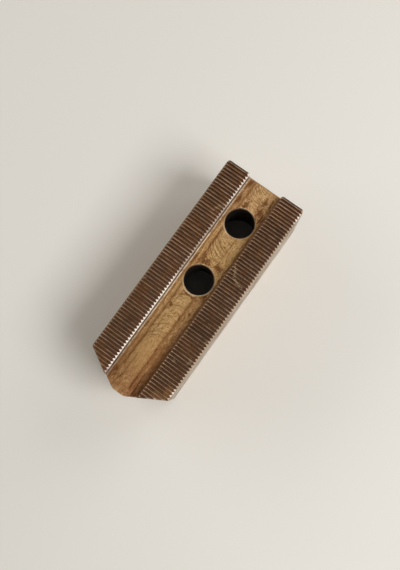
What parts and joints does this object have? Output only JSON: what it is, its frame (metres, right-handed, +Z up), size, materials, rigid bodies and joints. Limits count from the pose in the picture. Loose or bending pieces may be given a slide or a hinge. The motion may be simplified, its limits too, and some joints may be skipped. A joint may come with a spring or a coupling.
{
  "type": "machinable soft jaw",
  "caption": "Blank steel chuck jaw with toothed ribs, a key slot, counterbored bolt holes and a pointed nose.",
  "frame": {"origin": "middle of the block's outline on its plain gripping face", "axes": "+X from the square rear end to the nose, +Y across the block, +Z up through the gripping face to the serrated mounting face"},
  "size_m": [0.1072, 0.039, 0.042],
  "materials": {
    "steel": "milled steel, browned by rust and old oil, bright on its broken edges"
  },
  "bodies": {
    "root": {"soft_jaw": "steel"}
  },
  "joints": []
}
